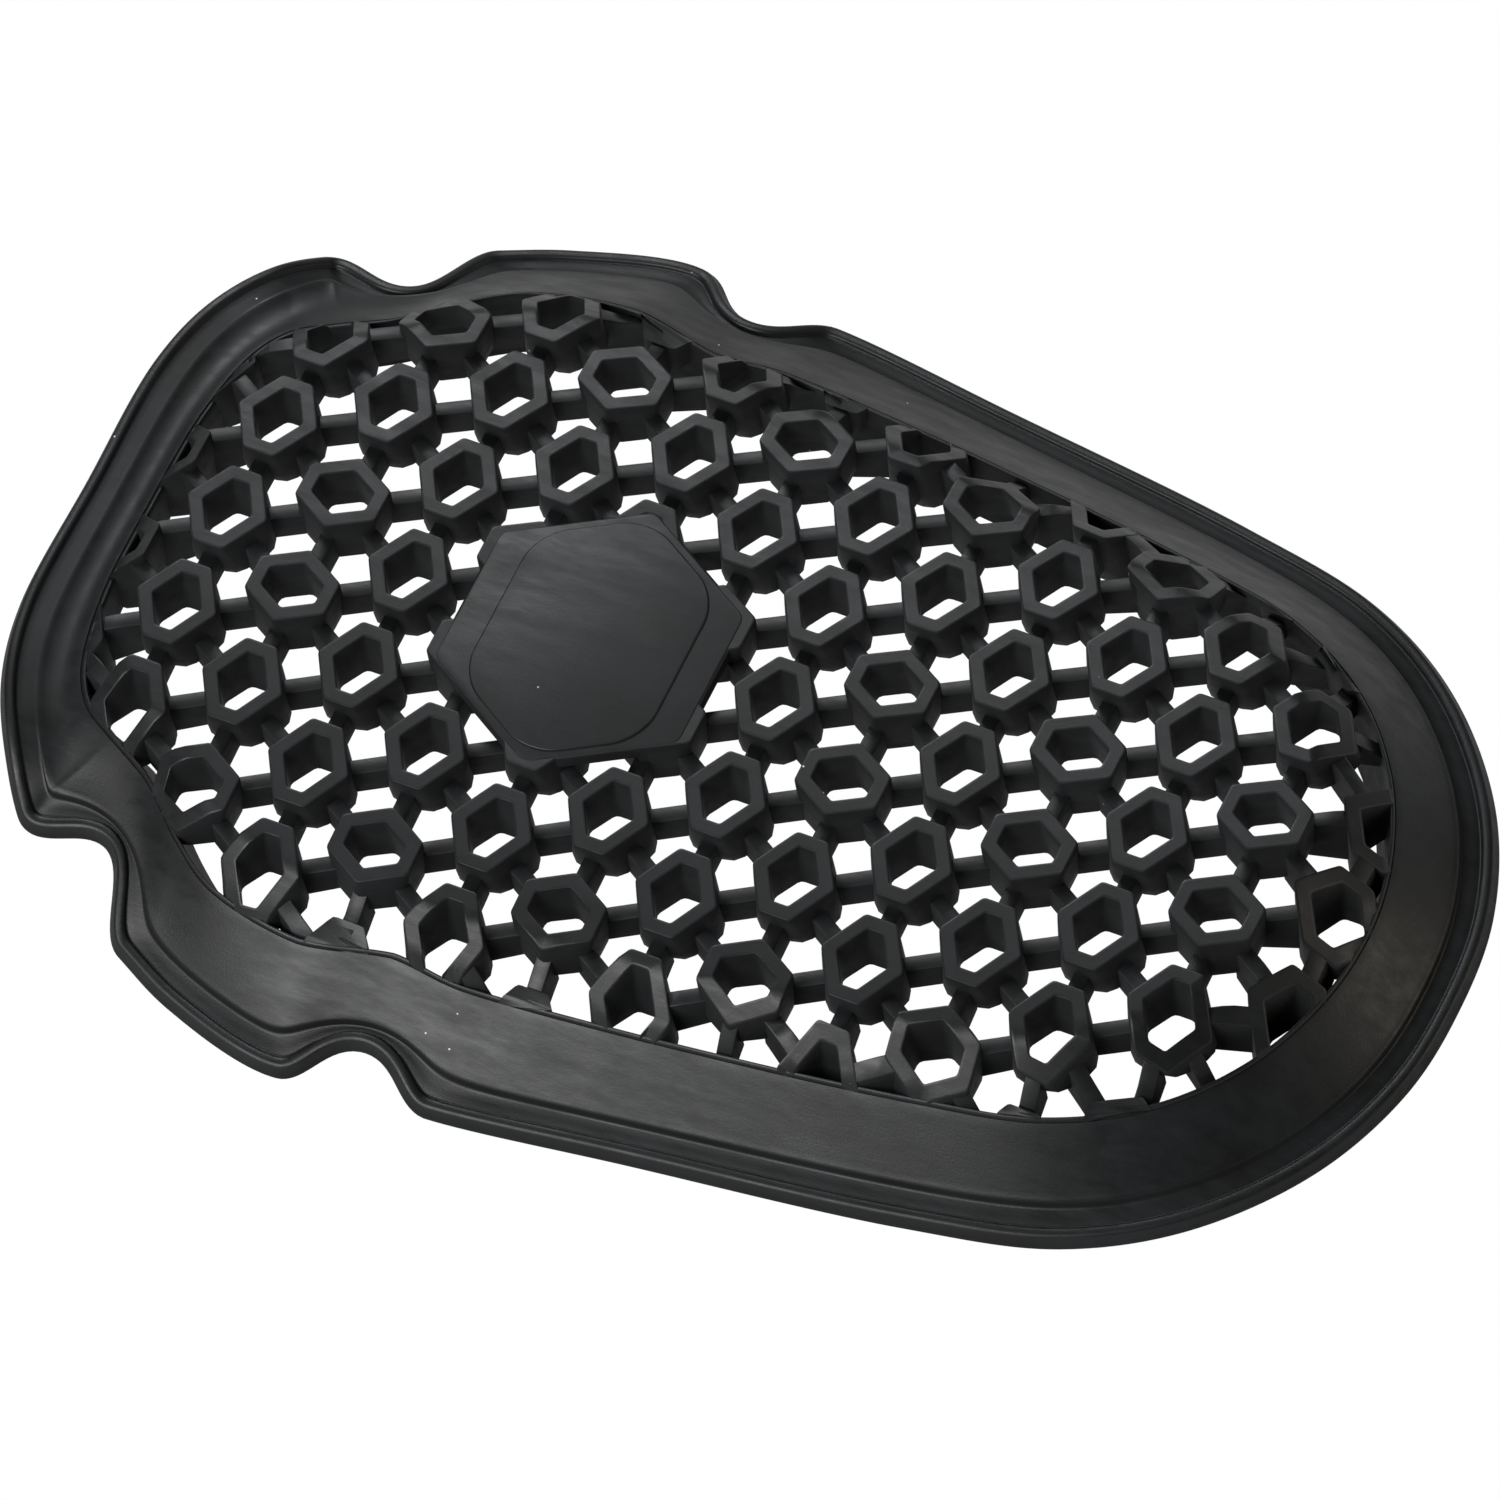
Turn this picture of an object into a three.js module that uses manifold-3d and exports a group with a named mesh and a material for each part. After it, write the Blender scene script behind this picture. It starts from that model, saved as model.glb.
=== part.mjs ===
/**
 * Hip pad: a moulded rubber impact protector that lies with its crown up.
 *
 * One moulding, as the real thing is. A sloping flange with a sewing channel and a lip
 * runs round a lattice of hexagonal tubes joined by ribs, and a hexagonal plate covers
 * seven of the tubes. X runs along the pad to its round end, Y across it, Z up, and the
 * rim stands on Z = 0. The pad is the same on both sides of Y = 0. Sizes are millimetres.
 */
import * as THREE from 'three';
import { mergeVertices } from 'three/addons/utils/BufferGeometryUtils.js';
import Module from 'manifold-3d';

const wasm = await Module();
wasm.setup();

// Driving dimensions.
const PITCH = 16.4;                       // centre to centre of neighbouring tubes
const COLUMN_STEP = PITCH * Math.sqrt(3) / 2;
const MIDDLE_X = 82.1;                    // the pad's middle, measured from the first column
const CROWN_Z = 21.1;                     // tube tops on the long axis
const CROWN_FALL = 1.15e-3;               // the tops fall by this times Y squared
const MOULDING_DEPTH = 7.8;               // top to bottom of a tube, and of the flange's inner wall
const SKIRT_SLOPE = 0.87;                 // the flange's slope, carried on up by the border tubes

const TUBE = {
  wall: 2.05,
  footApothem: 5.85,                      // each side of the foot stands this far from the tube's middle
  // corners of a quarter of the top outline: the ordinary tube points along X, the turned one along Y
  ordinary: { pointX: 6.3, cornerX: 2.4, cornerY: 6.6 },
  turned: { pointY: 6.2, cornerX: 6.3, cornerY: 2.7 },
};
const RIB = {
  width: 2.4, belowTop: 3.0, aboveFoot: 0.15,
  clear: 2.8,                             // one that runs into the flange is open this far in from its edge
};
const PLATE = {
  column: 4, apothem: 19.15, thickness: 2.2,
  panelRise: 0.3, panelAcross: 14.2, panelMargin: 1.3,   // the panel is narrower along X than the plate
};

// Half of the flange, from the head's middle round to the round end's middle. x, y, z is the
// foot of the outer wall without its notches, and xi, yi, zi the top of the opening's edge.
const SECTIONS = [
  { x: -23.6, y: 0.0, z: 12.6, xi: -14.3, yi: 0.0, zi: 14.5 },
  { x: -23.4, y: 21.5, z: 12.7, xi: -13.8, yi: 17.0, zi: 14.5 },
  { x: -20.6, y: 33.2, z: 12.3, xi: -10.8, yi: 28.4, zi: 14.4 },
  { x: -15.3, y: 43.2, z: 10.5, xi: -7.2, yi: 33.7, zi: 14.3 },
  { x: -9.1, y: 51.3, z: 5.4, xi: -1.5, yi: 37.2, zi: 14.3 },
  { x: -0.2, y: 56.7, z: 3.0, xi: 5.0, yi: 41.0, zi: 14.1 },
  { x: 11.6, y: 63.0, z: 1.6, xi: 13.6, yi: 48.2, zi: 13.3 },
  { x: 20.4, y: 67.0, z: 0.7, xi: 21.5, yi: 52.8, zi: 12.6 },
  { x: 37.4, y: 71.2, z: 0.4, xi: 36.5, yi: 55.8, zi: 12.2 },
  { x: 50.0, y: 68.8, z: 0.1, xi: 50.5, yi: 54.2, zi: 12.2 },
  { x: 60.8, y: 69.2, z: 0.2, xi: 60.5, yi: 54.4, zi: 12.0 },
  { x: 90.2, y: 65.5, z: 0.2, xi: 88.5, yi: 51.9, zi: 12.0 },
  { x: 130.1, y: 60.1, z: 0.0, xi: 127.3, yi: 46.9, zi: 12.0 },
  { x: 151.5, y: 55.1, z: 0.0, xi: 145.0, yi: 43.1, zi: 12.0 },
  { x: 166.9, y: 45.9, z: 0.0, xi: 158.5, yi: 35.2, zi: 12.0 },
  { x: 179.6, y: 31.2, z: 0.0, xi: 167.6, yi: 24.0, zi: 12.0 },
  { x: 186.3, y: 15.1, z: 0.0, xi: 172.9, yi: 11.2, zi: 12.1 },
  { x: 187.8, y: 0.0, z: 0.0, xi: 174.4, yi: 0.0, zi: 12.2 },
];
// A notch bites into the outline round the place nearest to x, y, and its rim climbs the flange.
const NOTCHES = [
  { x: -0.3, y: 56.5, depth: 7.7, halfWidth: 12.4, climb: 3.5 },
  { x: 50.3, y: 68.8, depth: 4.6, halfWidth: 11.2, climb: 3.0 },
];
// The rim's section: inward from the outer wall's foot, and up from it.
const RIM = {
  wallTop: { inward: 0.8, up: 2.2 },
  lipInner: { inward: 2.2, up: 2.5 },
  channelOuter: { inward: 2.5, up: 2.05 },
  channelInner: { inward: 5.1, up: 2.6 },
  riserTop: { inward: 5.3, up: 2.6 },      // and up by the riser's height on top of this
  footInner: { inward: 3.0, up: 0.0 },
};
// The riser's height at each of the SECTIONS: it fades out round the head.
const RISER = [0.1, 0.1, 0.1, 0.35, 1.0, 1.3, 1.3, 1.3, 1.3, 1.3, 1.3, 1.3, 1.3, 1.3, 1.3, 1.3, 1.3, 1.3];
const FLATNESS = 0.002;                   // faces this close to one plane become one
const STATION = { turn: 0.3, run: 26 };  // a flange section after this turn, in radians, or run

// Tubes by column: where they stand across the pad, in half pitches from the long axis.
const COLUMNS = [
  { column: -1, halves: [1, 3] },
  { column: 0, halves: [0, 2, 4] },
  { column: 1, halves: [1, 3, 5] },
  { column: 2, halves: [0, 2, 4, 6] },
  { column: 3, halves: [1, 3, 5] },
  { column: 4, halves: [0, 2, 4, 6] },
  { column: 5, halves: [1, 3, 5] },
  { column: 6, halves: [0, 2, 4, 6] },
  { column: 7, halves: [1, 3, 5] },
  { column: 8, halves: [0, 2, 4, 6] },
  { column: 9, halves: [1, 3, 5] },
  { column: 10, halves: [0, 2, 4] },
  { column: 11, halves: [1, 3] },
  { column: 12, halves: [0, 2] },
];
// Places of the lattice that the flange fills with a solid hexagonal tab.
const TABS = [{ column: 3, half: 7 }, { column: 11, half: 5 }];

// Solids and meshes.
/** Makes a joinable solid of a closed triangle list. */
function solidOf(points, triangles) {
  const geometry = new THREE.BufferGeometry();
  geometry.setAttribute('position', new THREE.Float32BufferAttribute(points.flat(), 3));
  geometry.setIndex(triangles.flat());
  const merged = mergeVertices(geometry, 1e-5);
  return new wasm.Manifold(new wasm.Mesh({
    numProp: 3,
    vertProperties: new Float32Array(merged.attributes.position.array),
    triVerts: new Uint32Array(merged.index.array),
  }));
}

/** Makes the solid between stacked convex loops of equal length, lowest first. */
function stack(loops) {
  const n = loops[0].length;
  const triangles = [];
  for (let level = 0; level + 1 < loops.length; level++) {
    for (let i = 0; i < n; i++) {
      const a = level * n + i;
      const b = level * n + (i + 1) % n;
      triangles.push([a, b, b + n], [a, b + n, a + n]);
    }
  }
  const top = (loops.length - 1) * n;
  for (let i = 1; i + 1 < n; i++) {
    triangles.push([0, i + 1, i], [top, top + i, top + i + 1]);
  }
  return solidOf(loops.flat(), triangles);
}

const unionOf = (solids) => wasm.Manifold.union(solids);

// The flange's two edges.
/** Mirrors the table's half into a closed loop of points and puts a smooth curve through it. */
function loopCurve(pick) {
  const half = SECTIONS.map(pick);
  const other = half.slice(1, -1).reverse().map((p) => new THREE.Vector3(p.x, -p.y, p.z));
  return new THREE.CatmullRomCurve3([...half, ...other], true, 'centripetal');
}
const outerCurve = loopCurve((s) => new THREE.Vector3(s.x, s.y, s.z));
const innerCurve = loopCurve((s) => new THREE.Vector3(s.xi, s.yi, s.zi));

/** Gives how deep a point of the outline lies in a notch, from 0 to 1, and that notch. */
function notchAt(point) {
  for (const notch of NOTCHES) {
    const away = Math.hypot(point.x - notch.x, Math.abs(point.y) - notch.y);
    if (away < notch.halfWidth) {
      return { notch, share: Math.cos(away / notch.halfWidth * Math.PI / 2) ** 2 };
    }
  }
  return { notch: null, share: 0 };
}

/** Gives the foot of the outer wall, notches and all, and the way inward from it. */
function footAt(t) {
  const place = (u) => {
    const base = outerCurve.getPoint(u);
    const along = outerCurve.getTangent(u);
    const { notch, share } = notchAt(base);
    if (notch) {
      base.addScaledVector(new THREE.Vector3(along.y, -along.x, 0).normalize(), notch.depth * share);
      base.z += notch.climb * share;
    }
    base.z = Math.max(base.z, 0);
    return base;
  };
  const step = 2e-4;
  const run = place((t + step) % 1).sub(place((t + 1 - step) % 1));
  return { foot: place(t), inward: new THREE.Vector3(run.y, -run.x, 0).normalize() };
}

/** Walks the outline clockwise from above and stops wherever it has turned or run far enough. */
function stations() {
  const fine = 2400;
  const stops = [0];
  let last = footAt(0);
  let turned = 0;
  let before = last.inward;
  for (let i = 1; i < fine / 2; i++) {
    const here = footAt(i / fine);
    turned += here.inward.angleTo(before);
    before = here.inward;
    if (turned >= STATION.turn || here.foot.distanceTo(last.foot) >= STATION.run) {
      stops.push(i / fine);
      last = here;
      turned = 0;
    }
  }
  // the far half is the near one mirrored, so both sides have the same stops
  const mirrored = stops.slice(1).map((t) => 1 - t).reverse();
  return [...stops, 0.5, ...mirrored];
}

/** Gives the riser's height at a share of the way round the outline. */
function riserAt(t) {
  const place = Math.min(t, 1 - t) * 2 * (RISER.length - 1);
  const index = Math.min(Math.floor(place), RISER.length - 2);
  return THREE.MathUtils.lerp(RISER[index], RISER[index + 1], place - index);
}

/** Gives one section of the flange as a closed list of points, from the foot up and over. */
function flangeSection(t) {
  const { foot, inward } = footAt(t);
  const edge = innerCurve.getPoint(t);
  const at = ({ inward: d, up }) => [foot.x + inward.x * d, foot.y + inward.y * d, foot.z + up];
  return [
    [foot.x, foot.y, foot.z],
    at(RIM.wallTop), at(RIM.lipInner), at(RIM.channelOuter), at(RIM.channelInner),
    at({ inward: RIM.riserTop.inward, up: RIM.riserTop.up + riserAt(t) }),
    [edge.x, edge.y, edge.z],
    [edge.x, edge.y, edge.z - MOULDING_DEPTH],
    at(RIM.footInner),
  ];
}

/** Joins the sections all the way round into the flange. */
function flange() {
  const sections = stations().map(flangeSection);
  const n = sections[0].length;
  const triangles = [];
  sections.forEach((_, s) => {
    const next = (s + 1) % sections.length;
    for (let i = 0; i < n; i++) {
      const j = (i + 1) % n;
      triangles.push([s * n + i, next * n + j, next * n + i], [s * n + i, s * n + j, next * n + j]);
    }
  });
  return solidOf(sections.flat(), triangles);
}

// The crown's height.
const edgePoints = innerCurve.getPoints(360).slice(0, -1);

/** Gives how far a place lies inside the opening's edge, less than 0 outside, and the edge's height. */
function insideEdge(x, y) {
  let best = Infinity;
  let index = 0;
  edgePoints.forEach((p, i) => {
    const away = Math.hypot(p.x - x, p.y - y);
    if (away < best) { best = away; index = i; }
  });
  const p = edgePoints[index];
  const q = edgePoints[(index + 1) % edgePoints.length];
  const side = (q.x - p.x) * (y - p.y) - (q.y - p.y) * (x - p.x);
  return { distance: side < 0 ? best : -best, edgeZ: p.z };
}

const domeZ = (y) => CROWN_Z - CROWN_FALL * y * y;

/** Gives the height of the lattice's top over a place: the dome, or the skirt near the flange. */
function crownZ(x, y) {
  const { distance, edgeZ } = insideEdge(x, y);
  return Math.min(domeZ(y), edgeZ + SKIRT_SLOPE * distance);
}

/** Makes the solid that trims the border tubes to the skirt and ends the lattice in the flange. */
function crown() {
  const steps = 32;
  // inward from the opening's edge, and up from it
  const levels = [
    { inward: -2.2, z: () => -5 },
    { inward: -2.2, z: (p) => p.z - 2.6 },
    { inward: 0, z: (p) => p.z - 0.1 },
    { inward: 8, z: (p) => p.z + 8 * SKIRT_SLOPE },
    { inward: 10, z: () => CROWN_Z + 1 },
  ];
  const loops = levels.map(({ inward, z }) => {
    const loop = [];
    for (let i = 0; i < steps; i++) {
      const p = innerCurve.getPoint(i / steps);
      const along = innerCurve.getTangent(i / steps);
      const length = Math.hypot(along.x, along.y);
      loop.push([p.x + along.y / length * inward, p.y - along.x / length * inward, z(p)]);
    }
    return loop.reverse();
  });
  return stack(loops);
}

// The lattice.
const placeOf = (column, half) => ({ x: column * COLUMN_STEP, y: half * PITCH / 2 });
const isTurned = (column, half) => column % 2 !== 0 && (Math.abs(half) === 1 || Math.abs(half) === 5);

/** Lists every tube as { column, half }, on both sides of the long axis. */
function allSites() {
  return COLUMNS.flatMap(({ column, halves }) => halves.flatMap((half) =>
    (half === 0 ? [{ column, half }] : [{ column, half }, { column, half: -half }])));
}

/** Gives a tube's outline round its own middle, counter-clockwise, with each side moved along its normal. */
function tubeLoop({ column, half }, moved) {
  const { x, y } = placeOf(column, half);
  const { pointX, pointY, cornerX, cornerY } = isTurned(column, half) ? TUBE.turned : TUBE.ordinary;
  const corners = pointX
    ? [[pointX, 0], [cornerX, cornerY], [-cornerX, cornerY],
      [-pointX, 0], [-cornerX, -cornerY], [cornerX, -cornerY]]
    : [[cornerX, -cornerY], [cornerX, cornerY], [0, pointY],
      [-cornerX, cornerY], [-cornerX, -cornerY], [0, -pointY]];
  return withSides(corners, moved).map(([dx, dy]) => [x + dx, y + dy]);
}

/** Gives a convex loop round the origin with each side put at a new distance from there. */
function withSides(loop, moved) {
  const lines = loop.map(([ax, ay], i) => {
    const [bx, by] = loop[(i + 1) % loop.length];
    const length = Math.hypot(bx - ax, by - ay);
    const nx = (by - ay) / length;
    const ny = -(bx - ax) / length;
    return { nx, ny, c: moved(nx * ax + ny * ay, i) };
  });
  return lines.map((b, i) => {
    const a = lines[(i + lines.length - 1) % lines.length];
    const det = a.nx * b.ny - b.nx * a.ny;
    return [(a.c * b.ny - b.c * a.ny) / det, (a.nx * b.c - b.nx * a.c) / det];
  });
}

const atHeight = (loop, z) => loop.map(([x, y]) => [x, y, z]);

/** Gives a tube's top and foot. The foot follows the skirt, and the top is trimmed to it later. */
function tubeEnds({ column, half }) {
  const { x, y } = placeOf(column, half);
  return { top: domeZ(y), foot: crownZ(x, y) - MOULDING_DEPTH };
}

/** Makes a tube without its bore. Its foot is an even hexagon and its top is not. */
function tubeBody(site) {
  const { top, foot } = tubeEnds(site);
  return stack([
    atHeight(tubeLoop(site, () => TUBE.footApothem), foot),
    atHeight(tubeLoop(site, (c) => c), top),
  ]);
}

/** Makes a tube's bore, which ends under the plate where the plate covers it. */
function tubeBore(site) {
  const { top, foot } = tubeEnds(site);
  const ceiling = isUnderPlate(site) ? CROWN_Z - PLATE.thickness : top + 3;
  const loop = tubeLoop(site, (c) => c - TUBE.wall);
  return stack([atHeight(loop, foot - 3), atHeight(loop, ceiling)]);
}

/** Makes the bar between two neighbours' centres, lower than their tops. */
function rib(a, b) {
  const from = placeOf(a.column, a.half);
  const to = placeOf(b.column, b.half);
  const length = Math.hypot(to.x - from.x, to.y - from.y);
  const sx = -(to.y - from.y) / length * RIB.width / 2;
  const sy = (to.x - from.x) / length * RIB.width / 2;
  const level = (fromZ, toZ) => [
    [from.x - sx, from.y - sy, fromZ], [to.x - sx, to.y - sy, toZ],
    [to.x + sx, to.y + sy, toZ], [from.x + sx, from.y + sy, fromZ],
  ];
  const below = MOULDING_DEPTH - RIB.aboveFoot;
  return stack([
    level(crownZ(from.x, from.y) - below, crownZ(to.x, to.y) - below),
    level(domeZ(from.y) - RIB.belowTop, domeZ(to.y) - RIB.belowTop),
  ]);
}

/** Tells whether the middle of a rib into the flange stands in the open. */
function isOpenBetween(a, b) {
  const from = placeOf(a.column, a.half);
  const to = placeOf(b.column, b.half);
  return insideEdge((from.x + to.x) / 2, (from.y + to.y) / 2).distance > RIB.clear;
}

/** Joins each tube to its six neighbours, or to the flange where that stands in a neighbour's place. */
function allRibs(sites) {
  const key = ({ column, half }) => `${column},${half}`;
  const tubes = new Set(sites.map(key));
  const seen = new Set();
  const ribs = [];
  for (const site of sites) {
    for (const [dc, dh] of [[0, 2], [1, 1], [1, -1], [0, -2], [-1, 1], [-1, -1]]) {
      const other = { column: site.column + dc, half: site.half + dh };
      const pair = [key(site), key(other)].sort().join('|');
      if (!seen.has(pair) && (tubes.has(key(other)) || isOpenBetween(site, other))) {
        seen.add(pair);
        ribs.push(rib(site, other));
      }
    }
  }
  return ribs;
}

function isUnderPlate({ column, half }) {
  const here = placeOf(column, half);
  const centre = placeOf(PLATE.column, 0);
  return Math.hypot(here.x - centre.x, here.y - centre.y) < PITCH * 1.1;
}

/** Makes the hexagonal plate, level with the tubes, with its low panel. */
function plate() {
  const { x } = placeOf(PLATE.column, 0);
  const corner = PLATE.apothem / Math.cos(Math.PI / 6);
  const outline = Array.from({ length: 6 }, (_, i) => [
    corner * Math.cos((i - 0.5) * Math.PI / 3), corner * Math.sin((i - 0.5) * Math.PI / 3),
  ]);
  // the first and fourth sides face along X
  const panelSides = (c, i) => (i % 3 === 0 ? PLATE.panelAcross : c - PLATE.panelMargin);
  const placed = (moved) => withSides(outline, moved).map(([dx, dy]) => [x + dx, dy]);
  const slab = stack([
    atHeight(placed((c) => c), CROWN_Z - PLATE.thickness), atHeight(placed((c) => c), CROWN_Z),
  ]);
  const panel = stack([
    atHeight(placed(panelSides), CROWN_Z - 1), atHeight(placed(panelSides), CROWN_Z + PLATE.panelRise),
  ]);
  return unionOf([slab, panel]);
}

/** Makes the solid tabs that stand in for a tube at the flange's edge. */
function tabs() {
  return TABS.flatMap(({ column, half }) => [half, -half].map((h) => tubeBody({ column, half: h })));
}

/** Makes the whole lattice, trimmed to the crown. */
function lattice() {
  const sites = allSites();
  const solid = unionOf([...sites.map(tubeBody), ...allRibs(sites), plate()]);
  const bored = solid.subtract(unionOf(sites.map(tubeBore)));
  return unionOf([bored, ...tabs()]).intersect(crown());
}

// The part.
/** Turns a solid back into a named mesh. */
function meshOf(solid, name, material) {
  const { vertProperties, triVerts } = solid.getMesh();
  const geometry = new THREE.BufferGeometry();
  geometry.setAttribute('position', new THREE.Float32BufferAttribute(vertProperties, 3));
  geometry.setIndex(new THREE.Uint32BufferAttribute(triVerts, 1));
  geometry.computeVertexNormals();
  const mesh = new THREE.Mesh(geometry, material);
  mesh.name = name;
  return mesh;
}

const rubber = new THREE.MeshStandardMaterial({ name: 'black_rubber', color: 0x1d1f20, roughness: 0.5, metalness: 0 });

const group = new THREE.Group();
// the join leaves flat faces in splinters, and these are made whole again
const moulding = unionOf([flange(), lattice()]).asOriginal().simplify(FLATNESS);
group.add(meshOf(moulding.translate([-MIDDLE_X, 0, 0]), 'pad_moulding', rubber));

export default group;
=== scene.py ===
"""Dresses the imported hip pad: a moulding of black rubber, hexagonal tubes in a sloping flange.

Lengths are millimetres in the classes' fields and metres in Blender. X runs along the pad
to its round end, Y across it and Z up, with the rim standing on Z = 0.
"""
from __future__ import annotations

import logging
import math
from dataclasses import dataclass, field
from enum import Enum
from typing import Callable, Iterable, Sequence

import bpy
import numpy as np
from mathutils import Matrix, Vector

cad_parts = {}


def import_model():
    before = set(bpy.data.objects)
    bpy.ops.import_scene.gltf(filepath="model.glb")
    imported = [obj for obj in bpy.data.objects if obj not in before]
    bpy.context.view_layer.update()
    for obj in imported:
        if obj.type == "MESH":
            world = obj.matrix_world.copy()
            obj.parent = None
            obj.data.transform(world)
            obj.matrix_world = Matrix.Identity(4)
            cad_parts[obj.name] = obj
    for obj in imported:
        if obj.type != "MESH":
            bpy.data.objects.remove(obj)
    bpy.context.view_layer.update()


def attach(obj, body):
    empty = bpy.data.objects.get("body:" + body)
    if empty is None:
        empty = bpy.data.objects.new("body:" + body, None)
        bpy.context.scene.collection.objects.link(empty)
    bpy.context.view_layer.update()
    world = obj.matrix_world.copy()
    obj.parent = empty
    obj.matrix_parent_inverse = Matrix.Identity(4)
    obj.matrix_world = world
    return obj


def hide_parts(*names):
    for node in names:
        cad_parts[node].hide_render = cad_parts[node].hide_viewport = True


LOG = logging.getLogger("hip_pad")
MM = 0.001
NODE = "pad_moulding"
CREASE = 38                             # edges sharper than this many degrees stay crisp
Points = np.ndarray
Chooser = Callable[[Vector, Vector], bool]
Work = Callable[[], None]


# Small helpers for modelling.

def deselect_all() -> None:
    """Leaves nothing selected, since an operator acts on all that is."""
    for obj in bpy.context.selected_objects:
        obj.select_set(False)


def activate(obj: bpy.types.Object) -> None:
    """Selects one object alone and makes it the active one."""
    deselect_all()
    obj.select_set(True)
    bpy.context.view_layer.objects.active = obj


def coordinates(obj: bpy.types.Object) -> Points:
    """Gives the vertices of an object.

    Args:
        obj: The object, whose place is in its mesh.

    Returns:
        One row of x, y, z in millimetres for each vertex.
    """
    flat = np.empty(len(obj.data.vertices) * 3)
    obj.data.vertices.foreach_get("co", flat)
    return flat.reshape(-1, 3) / MM


def place_vertices(obj: bpy.types.Object, points: Points) -> None:
    """Moves every vertex of an object.

    Args:
        obj: The object to shape.
        points: One row of x, y, z in millimetres for each vertex.
    """
    obj.data.vertices.foreach_set("co", (np.asarray(points, float) * MM).ravel())
    obj.data.update()


def edit_chosen(obj: bpy.types.Object, kind: str, chosen: Chooser, work: Work) -> None:
    """Runs edit-mode work on the faces or edges that a test chooses.

    Args:
        obj: The object to edit.
        kind: FACE or EDGE.
        chosen: Takes a face's centre in millimetres and its normal, or an edge's two ends in
            millimetres, and says whether it is selected.
        work: Calls the edit-mode operators.
    """
    activate(obj)
    bpy.ops.object.mode_set(mode="EDIT")
    bpy.ops.mesh.select_mode(type=kind)
    bpy.ops.mesh.select_all(action="DESELECT")
    bpy.ops.object.mode_set(mode="OBJECT")
    mesh = obj.data
    if kind == "FACE":
        for face in mesh.polygons:
            face.select = chosen(face.center / MM, face.normal)
    else:
        for edge in mesh.edges:
            edge.select = chosen(*(mesh.vertices[i].co / MM for i in edge.vertices))
    bpy.ops.object.mode_set(mode="EDIT")
    work()
    bpy.ops.object.mode_set(mode="OBJECT")


def closed_skin(name: str, rings: Points) -> bpy.types.Object:
    """Models a closed ring of closed sections from a grid primitive, rolled up both ways.

    Args:
        name: The object's name.
        rings: Sections by points by x, y, z in millimetres. Each section joins the next,
            and the last the first.

    Returns:
        The object, with all its faces wound the same way.
    """
    rolled = np.concatenate([rings, rings[:1]], axis=0)
    rolled = np.concatenate([rolled, rolled[:, :1]], axis=1)
    across, along = rings.shape[0], rings.shape[1]
    deselect_all()
    bpy.ops.mesh.primitive_grid_add(x_subdivisions=across, y_subdivisions=along, size=MM)
    obj = bpy.context.object
    obj.name = name
    obj.data.name = name
    flat = coordinates(obj)
    column = np.rint((flat[:, 0] + 0.5) * across).astype(int)
    row = np.rint((flat[:, 1] + 0.5) * along).astype(int)
    place_vertices(obj, rolled[column, row])
    activate(obj)
    bpy.ops.object.mode_set(mode="EDIT")
    bpy.ops.mesh.select_all(action="SELECT")
    bpy.ops.mesh.remove_doubles(threshold=1e-7)
    bpy.ops.mesh.normals_make_consistent(inside=False)
    bpy.ops.object.mode_set(mode="OBJECT")
    return obj


def outwards(obj: bpy.types.Object) -> None:
    """Turns the faces of one closed object outwards, told by the sign of the volume that they enclose."""
    volume = sum(face.center.dot(face.normal) * face.area for face in obj.data.polygons)
    if volume < 0:
        obj.data.flip_normals()


def joined(name: str, parts: Sequence[bpy.types.Object]) -> bpy.types.Object:
    """Joins objects into one.

    Args:
        name: The name of the result.
        parts: The objects to join.

    Returns:
        The joined object.
    """
    deselect_all()
    for part in parts:
        part.select_set(True)
    bpy.context.view_layer.objects.active = parts[0]
    if len(parts) > 1:
        bpy.ops.object.join()
    obj = bpy.context.object
    obj.name = name
    obj.data.name = name
    return obj


def smooth(obj: bpy.types.Object, degrees: float) -> None:
    """Shades an object smooth but for edges sharper than an angle."""
    activate(obj)
    bpy.ops.object.shade_smooth_by_angle(angle=math.radians(degrees))


# The pad's outline and crown, which every piece follows.

class Side(Enum):
    """Which edge of the flange a curve follows."""

    OUTER = slice(0, 3)
    INNER = slice(3, 6)


@dataclass(frozen=True)
class Notch:
    """A bite out of the outline, with its rim climbing the flange."""

    x: float
    y: float
    depth: float
    half_width: float
    climb: float


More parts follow.
